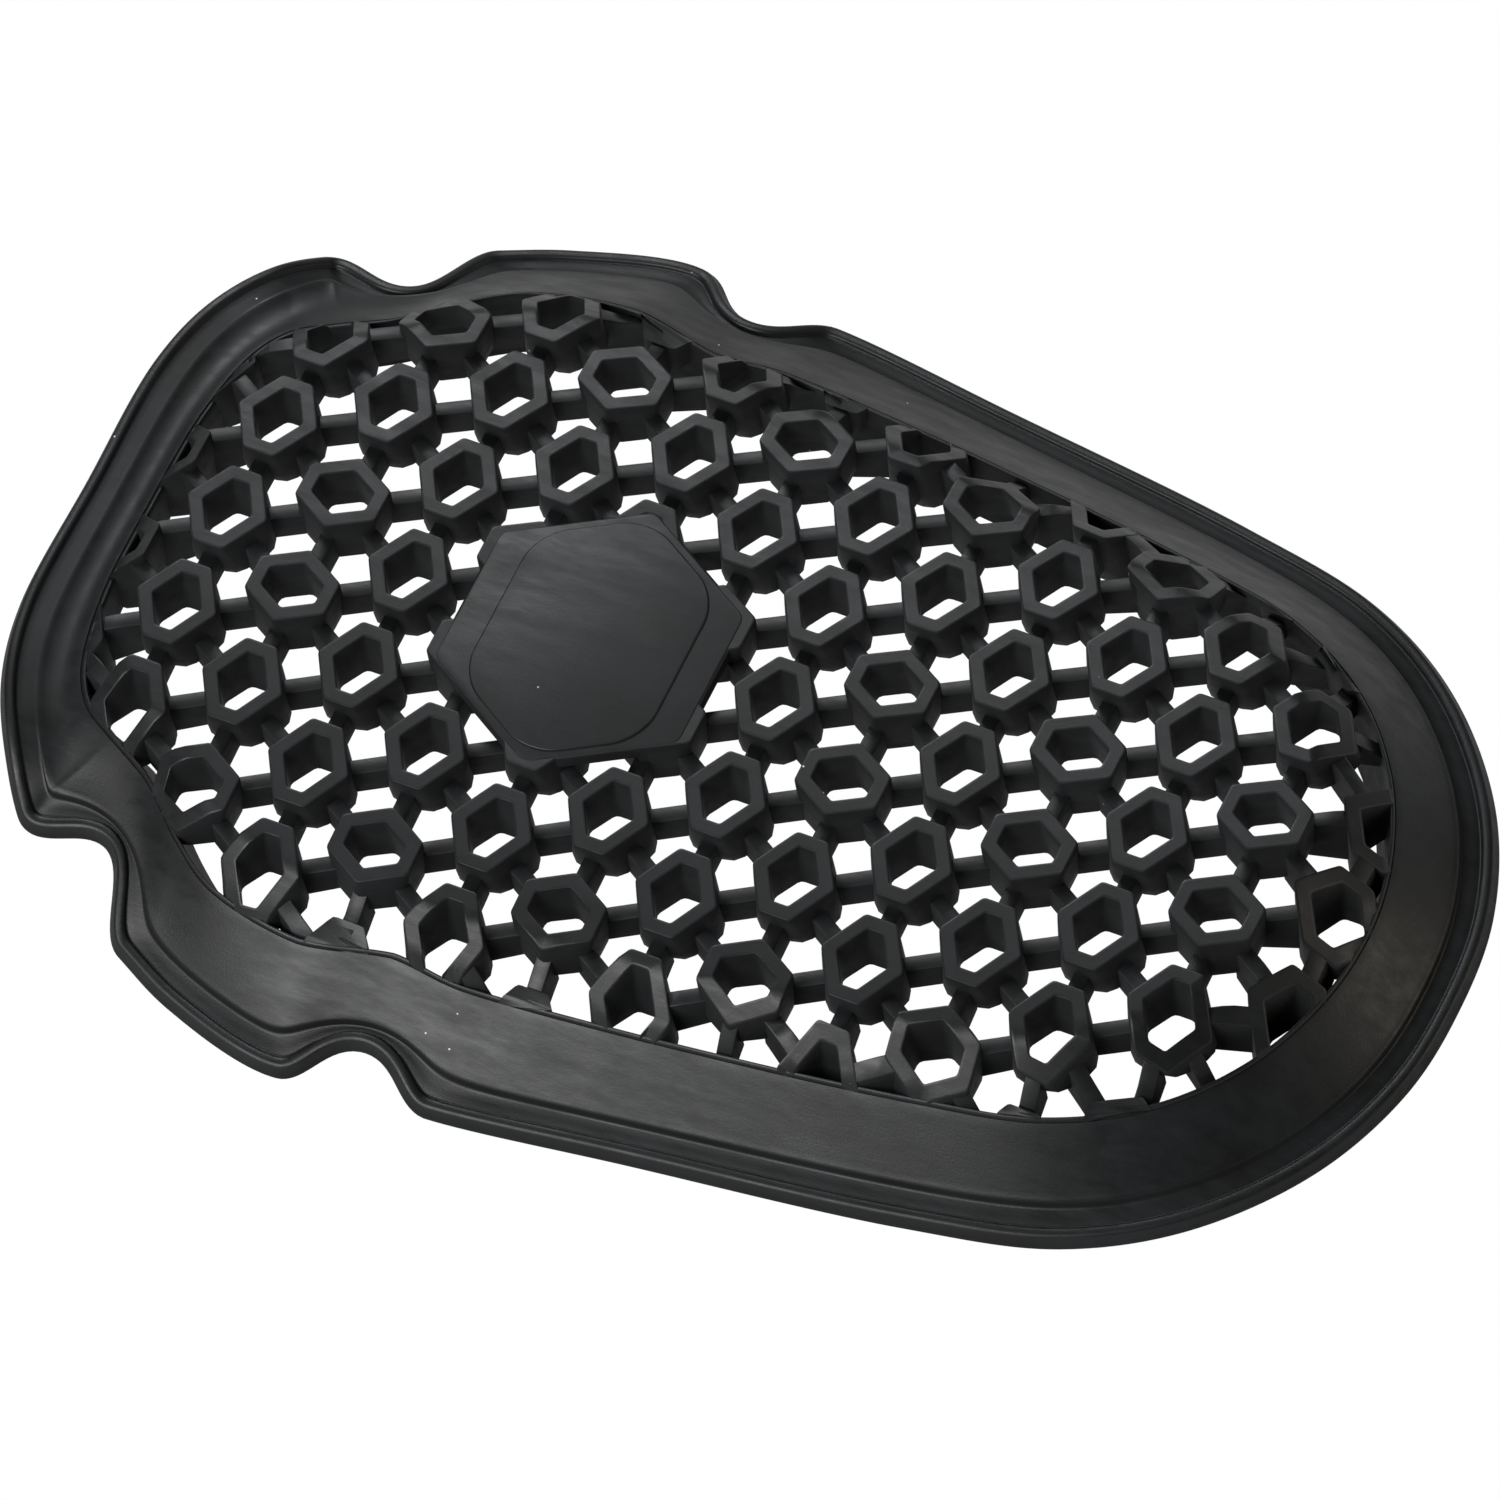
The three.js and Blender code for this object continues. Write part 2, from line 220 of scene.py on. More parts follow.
@dataclass
class Outline:
    """The flange's two edges and the height of the crown over any place."""

    middle_x: float = 82.1
    pitch: float = 16.4
    crown_z: float = 21.1
    crown_fall: float = 1.15e-3
    skirt_slope: float = 0.87
    proud: float = 0.15                 # the border tubes stand this much over the flange's slope
    depth: float = 7.8
    # x, y, z of the outer wall's foot, then x, y, z of the opening's edge, from the head round to
    # the far end
    sections: Sequence[Sequence[float]] = (
        (-23.6, 0.0, 12.6, -14.3, 0.0, 14.5),
        (-23.4, 21.5, 12.7, -13.8, 17.0, 14.5),
        (-20.6, 33.2, 12.3, -10.8, 28.4, 14.4),
        (-15.3, 43.2, 10.5, -7.2, 33.7, 14.3),
        (-9.1, 51.3, 5.4, -1.5, 37.2, 14.3),
        (-0.2, 56.7, 3.0, 5.0, 41.0, 14.1),
        (11.6, 63.0, 1.6, 13.6, 48.2, 13.3),
        (20.4, 67.0, 0.7, 21.5, 52.8, 12.6),
        (37.4, 71.2, 0.4, 36.5, 55.8, 12.2),
        (50.0, 68.8, 0.1, 50.5, 54.2, 12.2),
        (60.8, 69.2, 0.2, 60.5, 54.4, 12.0),
        (90.2, 65.5, 0.2, 88.5, 51.9, 12.0),
        (130.1, 60.1, 0.0, 127.3, 46.9, 12.0),
        (151.5, 55.1, 0.0, 145.0, 43.1, 12.0),
        (166.9, 45.9, 0.0, 158.5, 35.2, 12.0),
        (179.6, 31.2, 0.0, 167.6, 24.0, 12.0),
        (186.3, 15.1, 0.0, 172.9, 11.2, 12.1),
        (187.8, 0.0, 0.0, 174.4, 0.0, 12.2),
    )
    # the riser's height and the sag of the slope's middle, at each section
    riser: Sequence[float] = (0.1, 0.1, 0.1, 0.35, 1.0) + (1.3,) * 13
    sag: Sequence[float] = (0.8, 0.8, 0.8, 0.8, 0.6, 0.3) + (0.0,) * 12
    # how far the flange's thin lip reaches in past the edge, at each section
    reach: Sequence[float] = (
        2.0, 2.0, 1.5, 1.3, 1.2, 1.3, 1.1, 0.6, 0.7, 1.8, 1.0, 0.7, 0.7, 0.7, 0.6, 0.3, 0.3, 0.3)
    lip_rise: float = 0.2               # the lip rises this much for each millimetre that it reaches in
    # beyond cover_from outside the lip, the lattice's top starts cover_gap under it and falls outward
    cover_from: float = 0.3
    cover_gap: float = 0.3
    cover_slope: float = 1.15
    # lattice that lies further outside the lip than this is drawn back by a share of the rest
    tuck_from: float = 0.9
    tuck_share: float = 0.85
    # outside foot_inside, a lattice foot lies foot_gap over the inner wall's, and higher beyond foot_from
    foot_inside: float = 0.3
    foot_gap: float = 0.4
    foot_from: float = 0.5
    foot_slope: float = 0.9
    notches: Sequence[Notch] = (
        Notch(-0.3, 56.5, 7.7, 12.4, 3.5),
        Notch(50.3, 68.8, 4.6, 11.2, 3.0),
    )
    samples: int = 900
    edge: Points = field(init=False)
    edge_inward: Points = field(init=False)
    lip: Points = field(init=False)
    lip_inward: Points = field(init=False)

    def __post_init__(self) -> None:
        """Samples the opening's edge and the lip once, for the height of the lattice near them."""
        share = np.arange(self.samples) / self.samples
        self.edge = self.curve(Side.INNER, share)
        self.edge_inward = self.inward_of(self.edge)
        self.lip = self.lip_edge(share)
        self.lip_inward = self.inward_of(self.lip)

    def column(self, index: int) -> float:
        """Gives the X of a column of tubes."""
        return index * self.pitch * math.sqrt(3) / 2 - self.middle_x

    def curve(self, side: Side, share: Points) -> Points:
        """Gives points of a smooth closed curve through the sections and their mirror.

        Args:
            side: Which of the flange's two edges it follows.
            share: Shares of the way round, from 0 to 1.

        Returns:
            One row of x, y, z for each share.
        """
        half = np.array(self.sections)[:, side.value] - (self.middle_x, 0, 0)
        knots = np.vstack([half, half[1:-1][::-1] * (1, -1, 1)])
        count = len(knots)
        place = (np.asarray(share) % 1) * count
        first = np.floor(place).astype(int) % count
        p0, p1, p2, p3 = (knots[(first + k) % count] for k in (-1, 0, 1, 2))
        before, here, after = (
            np.linalg.norm(b - a, axis=1)[:, None] ** 0.5 for a, b in ((p0, p1), (p1, p2), (p2, p3)))
        start = ((p1 - p0) / before - (p2 - p0) / (before + here) + (p2 - p1) / here) * here
        end = ((p2 - p1) / here - (p3 - p1) / (here + after) + (p3 - p2) / after) * here
        w = (place - np.floor(place))[:, None]
        return (p1 + start * w + (3 * (p2 - p1) - 2 * start - end) * w ** 2
                + (2 * (p1 - p2) + start + end) * w ** 3)

    @staticmethod
    def inward_of(loop: Points) -> Points:
        """Gives the level unit vectors that point into a clockwise loop."""
        run = np.roll(loop, -1, axis=0) - np.roll(loop, 1, axis=0)
        inward = np.stack([run[:, 1], -run[:, 0], np.zeros(len(loop))], axis=1)
        return inward / np.linalg.norm(inward, axis=1)[:, None]

    def along(self, values: Sequence[float], share: Points) -> Points:
        """Gives a value of the sections, such as the riser's height, at shares of the way round."""
        place = np.minimum(share, 1 - share) * 2 * (len(values) - 1)
        return np.interp(place, range(len(values)), values)

    def lip_edge(self, share: Points) -> Points:
        """Gives the flange's upper edge, which reaches in a little past the skirt's foot."""
        edge = self.curve(Side.INNER, share)
        reach = self.along(self.reach, share)[:, None]
        return edge + self.inward_of(edge) * reach + np.array([0, 0, self.lip_rise]) * reach

    def foot(self, share: Points) -> Points:
        """Gives the foot of the outer wall, with its notches.

        Args:
            share: Shares of the way round, from 0 to 1.

        Returns:
            One row of x, y, z for each share.
        """
        loop = self.curve(Side.OUTER, share)
        inward = self.inward_of(loop)
        base = loop.copy()
        for notch in self.notches:
            away = np.hypot(base[:, 0] + self.middle_x - notch.x, np.abs(base[:, 1]) - notch.y)
            bite = np.cos(np.clip(away / notch.half_width, 0, 1) * math.pi / 2) ** 2
            loop += inward * (notch.depth * bite)[:, None]
            loop[:, 2] += notch.climb * bite
        loop[:, 2] = np.maximum(loop[:, 2], 0)
        return loop

    @staticmethod
    def nearest(loop: Points, inward: Points, points: Points) -> tuple[Points, Points]:
        """Finds the sample of a loop that is nearest to each place.

        Args:
            loop: The loop's samples.
            inward: The level unit vector that points into the loop at each sample.
            points: Rows that start with x, y.

        Returns:
            The number of the sample, and how far each place lies inside the loop, less than 0 outside.
        """
        away = points[:, None, :2] - loop[None, :, :2]
        nearest = np.argmin((away ** 2).sum(axis=2), axis=1)
        return nearest, (away[np.arange(len(points)), nearest] * inward[nearest, :2]).sum(axis=1)

    def crown(self, points: Points, below: float = 0.0, soft: float = 0.5) -> Points:
        """Gives the height of the lattice's top: the dome, or the skirt near the flange.

        Args:
            points: Rows that start with x, y.
            below: How far under the dome, but not under the skirt, the surface lies.
            soft: How widely the two surfaces run into each other.

        Returns:
            One height for each row.
        """
        dome = self.crown_z - below - self.crown_fall * points[:, 1] ** 2
        nearest, inside = self.nearest(self.edge, self.edge_inward, points)
        skirt = self.edge[nearest, 2] + self.skirt_slope * inside + self.proud
        apart = np.clip((skirt - dome) / soft, -1, 1)
        height = np.minimum(dome, skirt) - soft * 0.25 * (1 - np.abs(apart)) ** 2
        past, lip_z = self.inside(points)
        covered = np.minimum(height, lip_z - self.cover_gap + self.cover_slope * past)
        return np.where(past < -self.cover_from, covered, height)

    def inside(self, points: Points) -> tuple[Points, Points]:
        """Measures places against the flange's upper edge.

        Args:
            points: Rows that start with x, y.

        Returns:
            How far each place lies inside the edge, less than 0 outside, and the edge's height next to it.
        """
        nearest, inside = self.nearest(self.lip, self.lip_inward, points)
        return inside, self.lip[nearest, 2]

    def tucked(self, points: Points) -> Points:
        """Draws places that lie well outside the flange's edge back to it, where the flange is thick.

        Args:
            points: Rows that start with x, y.

        Returns:
            The same rows with x and y moved.
        """
        nearest, inside = self.nearest(self.lip, self.lip_inward, points)
        back = np.clip(-self.tuck_from - inside, 0, None) * self.tuck_share
        moved = points.copy()
        moved[:, :2] += self.lip_inward[nearest, :2] * back[:, None]
        return moved

    def underside(self, places: Points) -> Points:
        """Gives the height of the lattice's underside, which stops falling at the flange's edge."""
        past, lip_z = self.inside(places)
        return np.where(past < 0, lip_z - self.cover_gap, self.crown(places)) - self.depth

    def buried_foot(self, points: Points) -> Points:
        """Gives the least height of a lattice foot, which stays inside the flange past its edge.

        Args:
            points: Rows that start with x, y.

        Returns:
            One height for each row, 0 in the opening.
        """
        past, lip_z = self.inside(points)
        rise = self.foot_slope * np.clip(-self.foot_from - past, 0, None)
        return np.where(past < self.foot_inside, lip_z - self.depth + self.foot_gap + rise, 0.0)


# The flange.

@dataclass
class Flange:
    """The rim with its lip and channel, the slope up to the opening and the wall down from it."""

    outline: Outline
    stations: int = 560
    # the rim's section: inward from the outer wall's foot, and up from it
    rim: Sequence[Sequence[float]] = (
        (3.0, 0.0), (0.35, 0.0), (0.08, 0.12), (0.0, 0.4), (0.35, 1.3), (0.62, 1.95), (0.85, 2.3),
        (1.2, 2.47), (1.75, 2.5), (2.1, 2.46), (2.27, 2.3), (2.36, 2.02), (2.5, 1.92), (2.7, 2.0),
        (3.6, 2.24), (4.6, 2.5),
    )
    channel_from: float = 2.6           # the rim's sewing channel lies further inward than this
    riser_inward: float = 5.0
    riser_foot: float = 2.62
    riser_round: float = 0.3            # the rounding of its top where it is a millimetre high or more
    # the riser's section: inward from its foot, up from the rim's, and the share of its own height
    riser_section: Sequence[Sequence[float]] = ((-0.12, 2.58, 0.05), (0.0, 2.62, 0.25), (0.07, 2.62, 0.75))
    # the slope's section: shares of the way up to the lip
    slope_parts: Sequence[float] = (0.0, 0.08, 0.17, 0.28, 0.4, 0.52, 0.64, 0.76, 0.88, 0.96)
    # the lip's section: outward from the opening's edge, and up from the slope, with a fine groove
    lip_section: Sequence[Sequence[float]] = (
        (0.98, -0.05), (0.83, -0.3), (0.68, -0.04), (0.52, 0.04), (0.22, 0.02), (0.05, -0.1))
    # the inner wall's section: shares of its lean and of its depth
    wall_section: Sequence[Sequence[float]] = ((0.4, 0.5), (0.85, 0.85), (1.0, 0.97))
    ease: float = 1.5                   # stations of smoothing for each millimetre inward of ease_from
    ease_from: float = 1.5
    wall_ease: float = 4.0
    head_dip: float = 1.85              # the height inside the bead where there is no riser
    head_fall: float = 0.12             # the fall of that part for each millimetre inward of bead_at
    bead_at: float = 2.5
    # the inner wall reaches this far down, or further, to a little over the outer foot's level
    wall_depth: float = 7.8
    wall_clear: float = 0.4
    wall_round: float = 0.4
    wall_lean: float = 2.6              # how far the inner wall's foot reaches in under the lattice
    lip_width: float = 1.1

    def eased(self, ring: Points, spread: float) -> Points:
        """Smooths a ring along itself, so that it doesn't fold where it lies inside a tight corner.

        Args:
            ring: Rows of x, y, z.
            spread: The width of the smoothing in stations.

        Returns:
            The smoothed ring.
        """
        if spread <= 0:
            return ring
        offsets = np.arange(-int(3 * spread) - 1, int(3 * spread) + 2)
        weights = np.exp(-0.5 * (offsets / spread) ** 2)
        weights /= weights.sum()
        return sum(w * np.roll(ring, k, axis=0) for k, w in zip(offsets, weights))

    def build(self) -> bpy.types.Object:
        """Models the flange.

        Returns:
            The flange as one closed skin.
        """
        share = np.arange(self.stations) / self.stations
        foot = self.outline.foot(share)
        inward = self.outline.inward_of(foot)
        edge = self.outline.lip_edge(share)
        riser = self.outline.along(self.outline.riser, share)
        sag = self.outline.along(self.outline.sag, share)
        up = np.array([0.0, 0.0, 1.0])

        def rim_at(distance: float, height: float | Points) -> Points:
            """Gives a ring at a distance inward and up from the outer foot, eased round tight corners."""
            ring = foot + inward * distance
            spread = self.ease * max(distance - self.ease_from, 0)
            return self.eased(ring, spread) + up * np.reshape(height, (-1, 1))

        flat = 1 - np.clip(riser, 0, 1)

        def lowered_at(distance: float, height: float | Points) -> Points:
            """Gives such a ring, lowered where there is no riser, as round the head."""
            drop = flat * (height - self.head_dip + self.head_fall * (distance - self.bead_at))
            return rim_at(distance, height - drop)

        base, *outer = self.rim
        rings = [rim_at(*base)]
        rings += [(rim_at if d < self.channel_from else lowered_at)(d, h) for d, h in outer]
        rings += [lowered_at(self.riser_inward + d, low + riser * part)
                  for d, low, part in self.riser_section]
        soft = self.riser_round * np.minimum(riser, 1)
        rings.append(lowered_at(self.riser_inward + 0.2, self.riser_foot + riser - soft * 0.25))
        top = lowered_at(self.riser_inward + 0.45, self.riser_foot + riser + soft * 0.4)
        span = edge - top
        length = np.linalg.norm(span, axis=1)[:, None]

        def slope_at(part: float | Points, proud: float | Points) -> Points:
            """Gives a ring on the slope at a share of the way up it, standing proud of it by a height."""
            part = np.reshape(part, (-1, 1))
            dip = 4 * part * (1 - part) * sag[:, None] * np.clip(2 - 2 * part, 0, 1) ** 0.5
            return top + span * part - up * dip + up * np.reshape(proud, (-1, 1))

        last = 1 - self.lip_width / length
        rings += [slope_at(last * part, 0.0) for part in self.slope_parts]
        rings += [slope_at(1 - outward / length, proud) for outward, proud in self.lip_section]
        into = self.outline.inward_of(edge)
        depth = np.maximum(self.wall_depth, edge[:, 2] - foot[:, 2] - self.wall_clear)[:, None]
        lean = (self.wall_lean * (1 - flat))[:, None]
        rings += [edge + into * 0.1 - up * 0.42, edge - up * 1.6]
        rings += [self.eased(edge + into * lean * part, self.wall_ease * part) - up * (depth * down)
                  for part, down in self.wall_section]
        inner_foot = rim_at(*base)
        low = self.eased(edge + into * (lean - self.wall_round), self.wall_ease) - up * depth
        rings.append(low)
        rings += [low + (inner_foot - low) * part for part in (0.25, 0.5, 0.75)]
        return closed_skin("flange", np.stack(rings, axis=1))


# The lattice of tubes and ribs.

class TubeKind(Enum):
    """How a tube's hexagon lies: its sides' directions in degrees, and their distances from the middle."""

    ORDINARY = ((-30.6, 5.42), (30.6, 5.42), (90.0, 6.6), (149.4, 5.42), (210.6, 5.42), (270.0, 6.6))
    TURNED = ((0.0, 6.3), (60.9, 5.42), (119.1, 5.42), (180.0, 6.3), (240.9, 5.42), (299.1, 5.42))


@dataclass(frozen=True)
class Site:
    """A place of the lattice: its column, and its distance from the long axis in half pitches."""

    column: int
    half: int

    @property
    def kind(self) -> TubeKind:
        """Gives which way the tube here is turned."""
        turned = self.column % 2 != 0 and abs(self.half) in (1, 5)
        return TubeKind.TURNED if turned else TubeKind.ORDINARY


@dataclass
class Lattice:
    """The hexagonal tubes, the ribs between them and the stubs that stand in for some of them."""

    outline: Outline
    wall: float = 2.15
    foot_apothem: float = 5.95
    # the bore narrows more on one side, so that its foot lies off the middle
    bore_foot_near: float = 2.7
    bore_foot_far: float = 3.35
    # the rounding of the tube's upright edges at its top, and how much it grows toward the foot
    outer_corner: float = 0.75
    outer_corner_growth: float = 2.3
    bore_corner: float = 0.55
    bore_corner_growth: float = 0.5
    tube_least: float = 0.8             # the least height of a tube that the flange nearly covers
    under_plate: float = 0.06
    plate_column: int = 4
    plate_reach: float = 1.1            # the plate covers tubes nearer than this many pitches
    rib_width: float = 2.3
    rib_height: float = 4.0             # of the bar before it is fitted
    rib_edge: float = 0.18
    rib_below_top: float = 3.0
    rib_flare: float = 0.12             # how much wider the rib's foot is, as a share
    rib_bury: float = 1.1               # how deep the rib starts in the tube's wall
    rib_fall: float = 1.8               # how much lower a rib lies that runs out to the flange
    rib_least: float = 0.6
    rib_under: float = 0.12
    rib_blend: float = 0.8
    rib_foot_gap: float = 0.15          # the rib's foot lies this much over the tubes'
    rib_short: float = 2.0              # how far short of a missing tube's middle a rib ends
    rib_crease: float = 24
    rib_floor: float = 0.05             # no rib reaches lower than this over the table
    # a rib out to the flange is made if it is this far inside the lip at this share of the way
    open_least: float = 0.6
    open_at: float = 0.42
    rib_steps: int = 5
    rows: Sequence[Sequence[int]] = (
        (1, 3), (0, 2, 4), (1, 3, 5), (0, 2, 4, 6), (1, 3, 5), (0, 2, 4, 6), (1, 3, 5), (0, 2, 4, 6),
        (1, 3, 5), (0, 2, 4, 6), (1, 3, 5), (0, 2, 4), (1, 3), (0, 2),
    )
    first_column: int = -1
    # where the flange takes a tube's place: column, and half pitches from the long axis
    stub_sites: Sequence[tuple[int, int]] = ((3, 7), (5, 7), (10, 6), (11, 5))
    stub_points: int = 36
    stub_corner: float = 0.6
    stub_bury: float = 1.4              # how far the stub runs in under the lip
    stub_proud: float = 0.28
    stub_rise: float = 0.25
    stub_fall: float = 1.3
    stub_depth: float = 4.5
    # the tube's wall, from its foot outside, over its top and down the bore: share of the way
    # from top to foot, inset from the outside, and how far under the top or over the foot
    outside: Sequence[Sequence[float]] = (
        (1.0, 0.3, 0.0), (1.0, 0.0, 0.35), (0.75, 0.0, 0.0), (0.5, 0.0, 0.0), (0.22, 0.0, 0.0),
        (0.0, 0.0, -0.22), (0.0, 0.06, -0.06), (0.0, 0.22, 0.0), (0.0, 0.36, 0.0),
    )
    bore: Sequence[Sequence[float]] = (
        (0.0, -0.36, 0.0), (0.0, -0.22, 0.0), (0.0, -0.06, -0.06), (0.0, 0.0, -0.22),
        (0.3, 0.0, 0.0), (0.6, 0.0, 0.0), (1.0, 0.0, 0.35), (1.0, -0.3, 0.0),
    )

    def sites(self) -> list[Site]:
        """Lists every tube's place, on both sides of the long axis."""
        found = []
        for index, halves in enumerate(self.rows):
            for half in halves:
                found.append(Site(index + self.first_column, half))
                if half:
                    found.append(Site(index + self.first_column, -half))
        return found

    def middle(self, site: Site) -> Points:
        """Gives the X and Y of a tube's middle."""
        return np.array([self.outline.column(site.column), site.half * self.outline.pitch / 2])

    @staticmethod
    def rounded(sides: Sequence[Sequence[float]], radius: float, inset: float) -> Points:
        """Gives a hexagon with round corners and evenly split sides.

        Args:
            sides: Each side's direction in degrees and its distance from the middle.
            radius: The radius of the corners.
            inset: How far the sides move in.

        Returns:
            Rows of x, y: for each corner three points of its arc, then three of the side after it.
        """
        lines = [(math.radians(a), c - inset) for a, c in sides]
        corners = []
        for (a, ca), (b, cb) in zip([lines[-1], *lines[:-1]], lines):
            det = math.sin(b - a)
            corners.append(np.array([(ca * math.sin(b) - cb * math.sin(a)) / det,
                                     (cb * math.cos(a) - ca * math.cos(b)) / det]))
        arcs = []
        for i, corner in enumerate(corners):
            before, after = lines[i - 1][0], lines[i][0]
            turn = (after - before) % (2 * math.pi)
            turns = [before + turn * k / 2 for k in range(3)]
            normals = [np.array([math.cos(t), math.sin(t)]) for t in turns]
            centre = corner - normals[1] * radius / math.cos(turn / 2)
            arcs.append([centre + normal * radius for normal in normals])
        points = []
        for i, arc in enumerate(arcs):
            following = arcs[(i + 1) % len(arcs)][0]
            points += arc
            points += [arc[2] + (following - arc[2]) * k / 4 for k in (1, 2, 3)]
        return np.array(points)

    def tube_pattern(self, kind: TubeKind) -> tuple[bpy.types.Object, Points]:
        """Models a tube of one kind round the origin, to be copied.

        Args:
            kind: Which way its hexagon lies.

        Returns:
            The tube, and for each of its vertices the share of the way down and the offset there.
        """
        rings, marks = [], []
        for part, inset, offset in self.outside:
            sides = [(a, c + (self.foot_apothem - c) * part) for a, c in kind.value]
            radius = self.outer_corner + self.outer_corner_growth * part ** 1.5
            rings.append(self.rounded(sides, radius, inset))
            marks.append((part, offset))
        for part, inset, offset in self.bore:
            sides = []
            for angle, distance in kind.value:
                foot = self.bore_foot_near if 100 < angle < 160 else self.bore_foot_far
                sides.append((angle, (distance - self.wall) * (1 - part) + foot * part))
            radius = self.bore_corner + self.bore_corner_growth * part ** 1.5
            rings.append(self.rounded(sides, radius, inset))
            marks.append((part, offset))
        flat = np.stack(rings, axis=1)
        levels = np.arange(len(marks), dtype=float)
        heights = np.broadcast_to(levels[None, :, None], (*flat.shape[:2], 1))
        points = np.concatenate([flat, heights], axis=2)
        pattern = closed_skin(f"tube_{kind.name.lower()}", points)
        return pattern, np.array(marks)[np.rint(coordinates(pattern)[:, 2]).astype(int)]

    def tubes(self, sites: Iterable[Site]) -> bpy.types.Object:
        """Copies the two tubes to every place and trims each copy to the crown.

        Args:
            sites: Where the tubes stand.

        Returns:
            All the tubes as one object.
        """
        patterns = {kind: self.tube_pattern(kind) for kind in TubeKind}
        parts = []
        for site in sites:
            pattern, marks = patterns[site.kind]
            tube = bpy.data.objects.new(f"tube_{site.column}_{site.half}", pattern.data.copy())
            bpy.context.collection.objects.link(tube)
            points = coordinates(tube)
            middle = self.middle(site)
            points[:, :2] += middle
            points = self.outline.tucked(points)
            top = self.outline.crown(points)
            if self.is_under_plate(site):
                top = np.full(len(points), self.outline.crown_z - self.under_plate)
            foot = float(self.outline.underside(middle[None])[0])
            foot = np.maximum(foot, self.outline.buried_foot(points))
            foot = np.maximum(np.minimum(foot, top - self.tube_least), 0.0)
            down, offset = marks.T
            points[:, 2] = top * (1 - down) + foot * down + offset
            place_vertices(tube, points)
            outwards(tube)
            parts.append(tube)
        for pattern, _ in patterns.values():
            bpy.data.objects.remove(pattern, do_unlink=True)
        tubes = joined("lattice_tubes", parts)
        smooth(tubes, CREASE)
        return tubes

    def is_under_plate(self, site: Site) -> bool:
        """Tells whether the plate covers a tube."""
        away = self.middle(site) - self.middle(Site(self.plate_column, 0))
        return float(np.hypot(*away)) < self.outline.pitch * self.plate_reach

    def reach(self, site: Site, direction: Points) -> float:
        """Gives how far a rib stands from a tube's middle so that it starts inside the wall."""
        angle = math.atan2(direction[1], direction[0])
        outer = min(c / math.cos(angle - math.radians(a)) for a, c in site.kind.value
                    if math.cos(angle - math.radians(a)) > 0.2)
        return outer - self.rib_bury

    def rib_pattern(self) -> bpy.types.Object:
        """Models a bar one unit long with round upper edges, to be copied."""
        deselect_all()
        bpy.ops.mesh.primitive_cube_add(size=1.0)
        bar = bpy.context.object
        bar.scale = (1.0 * MM, self.rib_width * MM, self.rib_height * MM)
        bpy.ops.object.transform_apply(location=False, rotation=False, scale=True)
        edit_chosen(bar, "EDGE", lambda a, b: a.z > 1 and b.z > 1 and abs(a.y - b.y) < 0.01,
                    lambda: bpy.ops.mesh.bevel(offset=self.rib_edge * MM, segments=2, affect="EDGES"))
        edit_chosen(bar, "EDGE", lambda a, b: abs(a.x - b.x) > 0.9,
                    lambda: bpy.ops.mesh.subdivide(number_cuts=self.rib_steps - 1))
        return bar

    def ribs(self, sites: Sequence[Site]) -> bpy.types.Object:
        """Copies the bar between all neighbours, and out to the flange where a neighbour is missing.

        Args:
            sites: Where the tubes stand.

        Returns:
            All the ribs as one object.
        """
        standing = set(sites)
        pattern = self.rib_pattern()
        shape = coordinates(pattern)
        seen: set[frozenset[Site]] = set()
        parts = []
        for site in sites:
            for dc, dh in ((0, 2), (1, 1), (1, -1), (0, -2), (-1, 1), (-1, -1)):
                other = Site(site.column + dc, site.half + dh)
                pair = frozenset((site, other))
                here, there = self.middle(site), self.middle(other)
                if pair in seen or (other not in standing and not self.is_open(here, there)):
                    continue
                seen.add(pair)
                if self.is_under_plate(site) and self.is_under_plate(other):
                    continue
                parts.append(self.rib(pattern, shape, site, other, other in standing))
        bpy.data.objects.remove(pattern, do_unlink=True)
        ribs = joined("lattice_ribs", parts)
        smooth(ribs, self.rib_crease)
        return ribs

    def is_open(self, here: Points, there: Points) -> bool:
        """Tells whether a rib out to the flange shows at all before it runs in."""
        past, _ = self.outline.inside((here + (there - here) * self.open_at)[None])
        return bool(past[0] > self.open_least)

    def rib(self, pattern: bpy.types.Object, shape: Points, site: Site, other: Site,
            meets: bool) -> bpy.types.Object:
        """Lays one copy of the bar between two places.

        Args:
            pattern: The bar to copy.
            shape: The bar's vertices.
            site: The place of the tube that it starts from.
            other: The place that it runs to.
            meets: Whether a tube stands there.

        Returns:
            The rib.
        """
        here, there = self.middle(site), self.middle(other)
        run = there - here
        length = float(np.hypot(*run))
        along = run / length
        start = self.reach(site, along)
        end = length - (self.reach(other, -along) if meets else self.rib_short)
        part = shape[:, 0] + 0.5
        high = shape[:, 2] / self.rib_height + 0.5
        flat = here + np.outer(start + (end - start) * part, along)
        flat += np.outer(shape[:, 1] * (1 + self.rib_flare * (1 - high)), (-along[1], along[0]))
        flat = self.outline.tucked(flat)
        top = self.outline.crown(flat, self.rib_below_top, self.rib_blend) - self.rib_under
        if not meets:
            top -= self.rib_fall * np.clip(part * 2.5, 0, 1)
        foot = self.outline.underside(np.array([here, there])) + self.rib_foot_gap
        bottom = foot[0] + (foot[1] - foot[0]) * (start + (end - start) * part) / length
        bottom = np.minimum(np.maximum(bottom, self.outline.buried_foot(flat)), top - self.rib_least)
        rib = bpy.data.objects.new(f"rib_{site.column}_{site.half}", pattern.data.copy())
        bpy.context.collection.objects.link(rib)
        height = np.where(shape[:, 2] > 0, top - (self.rib_height / 2 - shape[:, 2]), bottom)
        place_vertices(rib, np.column_stack([flat, np.maximum(height, self.rib_floor)]))
        return rib

